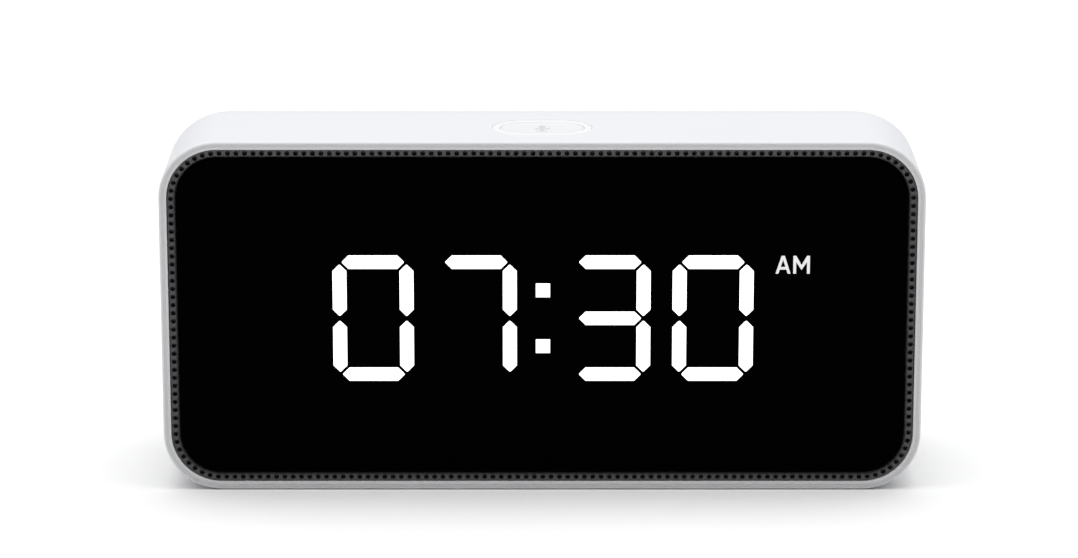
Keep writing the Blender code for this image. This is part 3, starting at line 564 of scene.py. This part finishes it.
def charging_pocket():
    """The tub in the back of the shell, with the charging socket's slot in its floor."""
    lip = depth(DEPTH - WALL - 0.1)
    tub = bmesh.new()
    skin(tub, [
        upright(pocket_outline(POCKET_WALL), depth(POCKET_FLOOR - 1)),
        upright(pocket_outline(POCKET_WALL), lip),
        upright(pocket_outline(POCKET_GAP), lip),
        upright(pocket_outline(POCKET_GAP), depth(POCKET_FLOOR))])
    pocket = piece("charging_pocket", tub, WHITE)
    mouth = stadium(*SOCKET_SLOT, (0, SOCKET_Z))
    slot = bmesh.new()
    skin(slot, [upright(mouth, depth(POCKET_FLOOR - 3)), upright(mouth, depth(POCKET_FLOOR + 2))])
    cut(pocket, slot)
    settle(pocket)
    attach(pocket, "case")


def rim_band(name, finish, low, high):
    """A closed band that fills the front of the rim between two insets."""
    soft = BEZEL_EDGE
    profile = [
        (low, BEZEL_DEPTH), (low, soft), (low + soft * 0.3, soft * 0.3), (low + soft, 0.0),
        (high - soft, 0.0), (high - soft * 0.3, soft * 0.3), (high, soft), (high, BEZEL_DEPTH)]
    bm = bmesh.new()
    skin(bm, [upright(case_outline(inset), depth(t)) for inset, t in profile], closed=True)
    band = piece(name, bm, finish)
    even_shading(band)
    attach(band, "case")


def bezel():
    """The rim's front in two bands, both greyer than the case as painted shade, the inner one a little
    lighter.
    """
    rim_band("bezel_outer_painted_shade", BEZEL_OUTER_PAINTED_SHADE, RIM_ROUND + HAIR, BEZEL_SPLIT)
    rim_band("bezel_inner_painted_shade", BEZEL_INNER_PAINTED_SHADE, BEZEL_SPLIT, WALL)


def foot_pad():
    """A thin rubber foot with a soft lower edge and shallow ribs."""
    loops = [level(foot_outline(0), FOOT_HIGH.z)]
    for sine, bulge in quarter(5)[::-1]:
        loops.append(level(foot_outline(FOOT_SOFT * (1 - sine)), FOOT_LOW.z + FOOT_SOFT * bulge))
    bm = bmesh.new()
    skin(bm, loops)
    foot = piece("rubber_foot", bm, FOOT_GREY)
    length = FOOT_HIGH.x - FOOT_LOW.x - 2 * GROOVE_END
    grooves = bmesh.new()
    for row in range(-3, 4):
        groove = stadium(length, GROOVE_BREADTH, (0, FOOT_MIDDLE[1] + row * GROOVE_PITCH), 5)
        skin(grooves, [level(groove, FOOT_LOW.z - PAST), level(groove, FOOT_LOW.z + GROOVE_DEPTH)])
    cut(foot, grooves)
    settle(foot)
    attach(foot, "case")
    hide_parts("foot_pad")


# --- front ----------------------------------------------------------------------------------------
def along_trim(distance, inset):
    """The point at that distance round the row of holes, and at that inset from the case's outline."""
    radius = CORNER - HOLE_INSET
    half_x = WIDTH / 2 - CORNER
    half_z = HEIGHT / 2 - CORNER
    bend = math.pi / 2 * radius
    reach = CORNER - inset
    runs = (
        (2 * half_x, 90, (half_x, half_z)),
        (2 * half_z, 180, (-half_x, half_z)),
        (2 * half_x, 270, (-half_x, -half_z)),
        (2 * half_z, 0, (half_x, -half_z)),
    )
    for straight, facing, start in runs:
        normal = Vector((math.cos(math.radians(facing)), math.sin(math.radians(facing))))
        heading = Vector((-normal.y, normal.x))
        if distance <= straight:
            flat = Vector(start) + heading * distance + normal * reach
            return flat.x, flat.y + MIDDLE_Z
        distance -= straight
        if distance <= bend:
            corner = Vector(start) + heading * straight
            angle = math.radians(facing) + distance / radius
            return corner.x + reach * math.cos(angle), corner.y + reach * math.sin(angle) + MIDDLE_Z
        distance -= bend
    return along_trim(distance, inset)


def trim_length():
    radius = CORNER - HOLE_INSET
    return 2 * (WIDTH + HEIGHT) - 8 * CORNER + 2 * math.pi * radius


def trim_face(inset):
    """Y of the band's face, which falls away towards the panel like a quarter of an ellipse."""
    along = max(inset - FALL_START, 0) / (FALL_END - FALL_START)
    return depth(TRIM_FRONT + FALL * (1 - math.sqrt(max(1 - along * along, 0))))


def patch_border(start, pitch, outer, inner):
    """(distance, inset) of the points round the square patch that holds one hole."""
    shares = [i / HOLE_SIDES for i in range(HOLE_SIDES)]
    border = [(start + pitch * share, outer) for share in shares]
    border += [(start + pitch, outer + (inner - outer) * share) for share in shares]
    border += [(start + pitch * (1 - share), inner) for share in shares]
    border += [(start, inner - (inner - outer) * share) for share in shares]
    return border


def perforated_trim():
    """The band round the panel, with one row of real holes whose edges are eased."""
    length = trim_length()
    count = round(length / HOLE_PITCH)
    pitch = length / count
    outer, inner = TRIM_INSET + TRIM_SEAM, 2 * HOLE_INSET - TRIM_INSET - TRIM_SEAM
    bm = bmesh.new()
    made = {}

    def vertex(distance, inset, y):
        """One shared vertex for each place, so that neighbouring patches join."""
        key = (round(distance / length * 1e6) % 1000000, round(inset * 1e4), round(y * 1e4))
        if key not in made:
            x, z = along_trim(distance % length, inset)
            made[key] = bm.verts.new((x, y, z))
        return made[key]

    def hole_ring(middle, radius, y_at):
        ring = []
        for step in range(4 * HOLE_SIDES):
            turn = math.radians(-135) + math.pi / 2 * step / HOLE_SIDES
            inset = HOLE_INSET + radius * math.sin(turn)
            ring.append(vertex(middle + radius * math.cos(turn), inset, y_at(inset)))
        return ring

    for hole in range(count):
        start = hole * pitch
        middle = start + pitch / 2
        border = patch_border(start, pitch, outer, inner)
        rings = [
            [vertex(distance, inset, trim_face(inset)) for distance, inset in border],
            hole_ring(middle, HOLE_RADIUS + HOLE_EDGE, trim_face),
            hole_ring(middle, HOLE_RADIUS, lambda inset: trim_face(inset) + HOLE_SINK),
            hole_ring(middle, HOLE_RADIUS, lambda inset: depth(TRIM_FRONT + HOLE_DEPTH)),
        ]
        for first, second in zip(rings, rings[1:]):
            for i in range(len(first)):
                bm.faces.new((first[i - 1], first[i], second[i], second[i - 1]))
        bm.faces.new(rings[-1])

    back = TRIM_HIGH.y
    insets = [inner + (FALL_END - inner) * share for share in (0, 0.3, 0.55, 0.75, 0.9, 0.98, 1)]
    profile = [(inset, trim_face(inset)) for inset in insets]
    profile += [(FALL_END, back), (TRIM_INSET, back), (TRIM_INSET, trim_face(outer) + 0.1)]
    profile.append((outer, trim_face(outer)))
    stride = pitch / HOLE_SIDES
    for (inset_0, y_0), (inset_1, y_1) in zip(profile, profile[1:]):
        for step in range(count * HOLE_SIDES):
            near, far = step * stride, (step + 1) * stride
            bm.faces.new((
                vertex(near, inset_0, y_0), vertex(far, inset_0, y_0),
                vertex(far, inset_1, y_1), vertex(near, inset_1, y_1)))
    trim = piece("perforated_surround", bm, TRIM_GREY, 30)
    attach(trim, "case")
    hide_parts("perforated_trim")


def front_panel():
    """The polished dark panel, with a small rounded edge."""
    loops = []
    for sine, bulge in quarter(5):
        inset = PANEL_INSET + PANEL_SOFT * (1 - sine)
        loops.append(upright(case_outline(inset), depth(PANEL_FRONT + PANEL_SOFT * bulge)))
    loops.append(upright(case_outline(PANEL_INSET), PANEL_HIGH.y))
    bm = bmesh.new()
    skin(bm, loops)
    panel = piece("smoked_front", bm, PANEL_BLACK)
    even_shading(panel)
    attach(panel, "case")
    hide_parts("front_panel")


# --- display --------------------------------------------------------------------------------------
TOP_BAR, BOTTOM_BAR, MIDDLE_BAR, UPPER_LEFT, LOWER_LEFT, UPPER_RIGHT, LOWER_RIGHT = range(7)
SHOWN_BARS = {
    "0": (TOP_BAR, BOTTOM_BAR, UPPER_LEFT, LOWER_LEFT, UPPER_RIGHT, LOWER_RIGHT),
    "3": (TOP_BAR, BOTTOM_BAR, MIDDLE_BAR, UPPER_RIGHT, LOWER_RIGHT),
    "7": (TOP_BAR, UPPER_RIGHT, LOWER_RIGHT),
}


def bar_outline(centre, length, on_end):
    """A bar with pointed ends whose tips are a little blunt, as (x, z) points."""
    half, tip = BAR_WIDTH / 2, length / 2
    shoulder = tip - half + BAR_BLUNT
    flat = [
        (-tip, -BAR_BLUNT), (-shoulder, -half), (shoulder, -half), (tip, -BAR_BLUNT),
        (tip, BAR_BLUNT), (shoulder, half), (-shoulder, half), (-tip, BAR_BLUNT)]
    if on_end:
        flat = [(-b, a) for a, b in flat]
    return shifted(flat, centre)


def digit_bars(x):
    """The seven bars of a digit, in the order of the names above."""
    across = 2 * BAR_X - 2 * BAR_GAP
    tall = BAR_Z - 2 * BAR_GAP
    bars = [bar_outline((x, DISPLAY_Z + rise), across, False) for rise in (BAR_Z, -BAR_Z, 0)]
    for side in (-1, 1):
        for rise in (BAR_Z / 2, -BAR_Z / 2):
            bars.append(bar_outline((x + side * BAR_X, DISPLAY_Z + rise), tall, True))
    return bars


def colon_dots():
    half = COLON_SIDE / 2
    square = [(-half, -half), (half, -half), (half, half), (-half, half)]
    return [shifted(square, (COLON_X, DISPLAY_Z + rise)) for rise in (COLON_RISE, -COLON_RISE)]


def glowing(name, outlines):
    """Thin lit plates let into the face of the panel."""
    front, back = depth(PANEL_FRONT - LIT_FRONT), depth(PANEL_FRONT + LIT_SUNK)
    bm = bmesh.new()
    for outline in outlines:
        skin(bm, [upright(outline, front), upright(outline, back)])
    lit = piece(name, bm, LIT)
    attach(lit, "case")


def letter_a():
    """The outline of the A and of the hole in it, as (x, height above the base) points."""
    middle = (A_LEFT + A_RIGHT) / 2
    slope = (middle - A_LEFT - A_SHOULDER) / LETTER_HEIGHT
    bar_low, bar_high = A_BAR

    def leg(side, height, inner):
        """The outer or inner edge of the left (-1) or right (1) leg at that height."""
        edge = A_LEFT + slope * height + (LETTER_STROKE if inner else 0)
        return (edge if side < 0 else 2 * middle - edge), height

    outside = [
        leg(-1, 0, False), leg(-1, 0, True), leg(-1, bar_low, True), leg(1, bar_low, True),
        leg(1, 0, True), leg(1, 0, False), leg(1, LETTER_HEIGHT, False), leg(-1, LETTER_HEIGHT, False)]
    peak = (middle - A_LEFT - LETTER_STROKE) / slope
    return outside, [leg(-1, bar_high, True), leg(1, bar_high, True), (middle, peak)]


def letter_m():
    """The outline of the M, as (x, height above the base) points."""
    middle = (M_LEFT + M_RIGHT) / 2
    inner_left, inner_right = M_LEFT + LETTER_STROKE, M_RIGHT - LETTER_STROKE
    shoulder = LETTER_HEIGHT - M_SHOULDER
    dip_low, dip_high = M_DIP
    return [
        (M_LEFT, 0), (inner_left, 0), (inner_left, shoulder), (middle, dip_low), (inner_right, shoulder),
        (inner_right, 0), (M_RIGHT, 0), (M_RIGHT, LETTER_HEIGHT), (inner_right, LETTER_HEIGHT),
        (middle, dip_high), (inner_left, LETTER_HEIGHT), (M_LEFT, LETTER_HEIGHT)]


def lit_letters():
    """A and M as one flat filled curve."""
    letters = bpy.data.curves.new("lit_letters", "CURVE")
    letters.dimensions = "2D"
    letters.fill_mode = "BOTH"
    letters.extrude = (LIT_FRONT + LIT_SUNK) / 2 * MM
    for outline in (*letter_a(), letter_m()):
        spline = letters.splines.new("POLY")
        spline.points.add(len(outline) - 1)
        spline.use_cyclic_u = True
        for point, (x, height) in zip(spline.points, outline):
            point.co = (x * MM, (LETTER_BASE + height) * MM, 0, 1)
    letters.materials.append(LIT_SMALL)
    made = bpy.data.objects.new("lit_am", letters)
    made.rotation_euler = (math.pi / 2, 0, 0)
    made.location = (0, depth(PANEL_FRONT + (LIT_SUNK - LIT_FRONT) / 2) * MM, 0)
    bpy.context.scene.collection.objects.link(made)
    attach(made, "case")


def display():
    for number, (box, figure) in enumerate(zip(DIGITS, "0730"), 1):
        bars = digit_bars((box[0].x + box[1].x) / 2)
        glowing(f"lit_digit_{number}", [bars[bar] for bar in SHOWN_BARS[figure]])
    glowing("lit_colon", colon_dots())
    lit_letters()


# --- button ---------------------------------------------------------------------------------------
def light_ring():
    """The oval ring, brightened by a faint painted glow, with the hidden collar that holds it under the
    shell.
    """
    top, bottom = RING_HIGH.z, RING_LOW.z
    loops = [
        level(button_outline(-RING_COLLAR), bottom),
        level(button_outline(-RING_COLLAR), bottom + RING_COLLAR_HEIGHT),
        level(button_outline(0), bottom + RING_COLLAR_HEIGHT)]
    for sine, bulge in quarter(4)[::-1]:
        loops.append(level(button_outline(RING_SOFT * (1 - sine)), top - RING_SOFT * bulge))
    for sine, bulge in quarter(4):
        loops.append(level(button_outline(RING_BAND - RING_SOFT * (1 - sine)), top - RING_SOFT * bulge))
    loops.append(level(button_outline(RING_BAND), bottom))
    bm = bmesh.new()
    skin(bm, loops, closed=True)
    ring = piece("light_ring", bm, RING_WHITE_PAINTED_GLOW)
    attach(ring, "case")
    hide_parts("button_light_ring")


def button_top():
    """The white cap: a stem to the switch, a flange that keeps it in, and a face with a shallow dish."""
    edge = RING_BAND + SEAM
    flange_bottom = CAP_FLANGE_TOP - CAP_FLANGE_HEIGHT
    stem = circle(CAP_STEM, BUTTON_MIDDLE, len(button_outline(0)))
    loops = [
        level(stem, CAP_LOW.z),
        level(stem, flange_bottom),
        level(button_outline(edge - CAP_FLANGE), flange_bottom),
        level(button_outline(edge - CAP_FLANGE), CAP_FLANGE_TOP),
        level(button_outline(edge), CAP_FLANGE_TOP)]
    for sine, bulge in quarter(5)[::-1]:
        loops.append(level(button_outline(edge + CAP_SOFT * (1 - sine)), CAP_HIGH.z - CAP_SOFT * bulge))
    for share in (0.25, 0.5, 0.75, 1.0):
        sunk = CAP_DISH * (1 - (1 - share) ** 2)
        loops.append(level(button_outline(edge + CAP_SOFT + share * CAP_DISH_RUN), CAP_HIGH.z - sunk))
    bm = bmesh.new()
    skin(bm, loops)
    cap = piece("button_top", bm, CAP_WHITE)
    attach(cap, "button")
    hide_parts("button_cap")


def microphone_strokes():
    """A plain microphone, one unit tall: capsule, cradle, stem and foot."""
    capsule = shifted(rounded_rectangle(0.24, 0.54, 0.119, 8), (0, 0.2))
    cradle = arc(0.3, 180, 360, 18, (0, 0.08)) + arc(0.21, 360, 180, 18, (0, 0.08))
    stem = [(-0.045, -0.4), (0.045, -0.4), (0.045, -0.23), (-0.045, -0.23)]
    foot = [(-0.2, -0.5), (0.2, -0.5), (0.2, -0.41), (-0.2, -0.41)]
    return capsule, cradle, stem, foot


def button_symbol():
    """The microphone printed on the button, a hair above its sunk middle."""
    face = CAP_HIGH.z - CAP_DISH
    bm = bmesh.new()
    for stroke in microphone_strokes():
        flat = shifted([(MARK_SIZE * a, MARK_SIZE * b) for a, b in stroke], BUTTON_MIDDLE)
        skin(bm, [level(flat, face - 0.08), level(flat, face + 0.015)])
    symbol = piece("button_symbol", bm, MARK_GREY)
    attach(symbol, "button")


# --- room and camera ------------------------------------------------------------------------------
def table():
    """A large, plain white table top."""
    bm = bmesh.new()
    bmesh.ops.create_grid(bm, x_segments=1, y_segments=1, size=TABLE_SIZE)
    piece("table", bm, TABLE_WHITE)


def maths(nodes, links, operation, first, second=None):
    """A Math node whose inputs are sockets or plain numbers."""
    node = nodes.new("ShaderNodeMath")
    node.operation = operation
    for socket, value in zip(node.inputs, (first, second)):
        if isinstance(value, bpy.types.NodeSocket):
            links.new(value, socket)
        elif value is not None:
            socket.default_value = value
    return node.outputs["Value"]


def glow(nodes, links, direction, azimuth, elevation, across, up, strength):
    """A soft oval light in the sky, as SKY_LIGHTS describes it."""
    turn = nodes.new("ShaderNodeMapping")
    turn.vector_type = "TEXTURE"
    turn.inputs["Rotation"].default_value = (math.radians(elevation - 90), 0, math.radians(-azimuth))
    links.new(direction, turn.inputs["Vector"])
    squeeze = nodes.new("ShaderNodeVectorMath")
    squeeze.operation = "MULTIPLY"
    squeeze.inputs[1].default_value = (1 / math.radians(across), 1 / math.radians(up), 0)
    links.new(turn.outputs["Vector"], squeeze.inputs[0])
    squared = nodes.new("ShaderNodeVectorMath")
    squared.operation = "DOT_PRODUCT"
    links.new(squeeze.outputs["Vector"], squared.inputs[0])
    links.new(squeeze.outputs["Vector"], squared.inputs[1])
    falling = maths(nodes, links, "MULTIPLY", squared.outputs["Value"], -0.5)
    bell = maths(nodes, links, "EXPONENT", falling)
    lit = maths(nodes, links, "MULTIPLY", bell, strength)
    split = nodes.new("ShaderNodeSeparateXYZ")
    links.new(turn.outputs["Vector"], split.inputs["Vector"])
    facing = maths(nodes, links, "GREATER_THAN", split.outputs["Z"], 0.0)
    return maths(nodes, links, "MULTIPLY", lit, facing)


def sky():
    """A dim even room with a long soft light overhead and a small one at each side."""
    world = bpy.data.worlds.new("studio")
    bpy.context.scene.world = world
    world.use_nodes = True
    nodes, links = world.node_tree.nodes, world.node_tree.links
    direction = nodes.new("ShaderNodeTexCoord").outputs["Generated"]
    total = ROOM_LIGHT
    for light in SKY_LIGHTS:
        total = maths(nodes, links, "ADD", total, glow(nodes, links, direction, *light))
    links.new(total, nodes["Background"].inputs["Strength"])
    nodes["Background"].inputs["Color"].default_value = (1, 1, 1, 1)


def camera():
    """Stands in front of the clock and a little above it, with a long lens."""
    data = bpy.data.cameras.new("camera")
    data.sensor_width = 36.0
    data.lens = CAMERA_LENS
    data.clip_start, data.clip_end = 0.05, 30
    made = bpy.data.objects.new("camera", data)
    made.location = CAMERA_PLACE * MM
    made.rotation_euler = (math.radians(90 - CAMERA_DOWN), 0, 0)
    bpy.context.scene.collection.objects.link(made)
    bpy.context.scene.camera = made


bpy.context.scene.view_settings.view_transform = "Standard"
paint_carried_nodes()
case_shell()
charging_pocket()
bezel()
foot_pad()
perforated_trim()
front_panel()
display()
light_ring()
button_top()
button_symbol()
table()
sky()
camera()
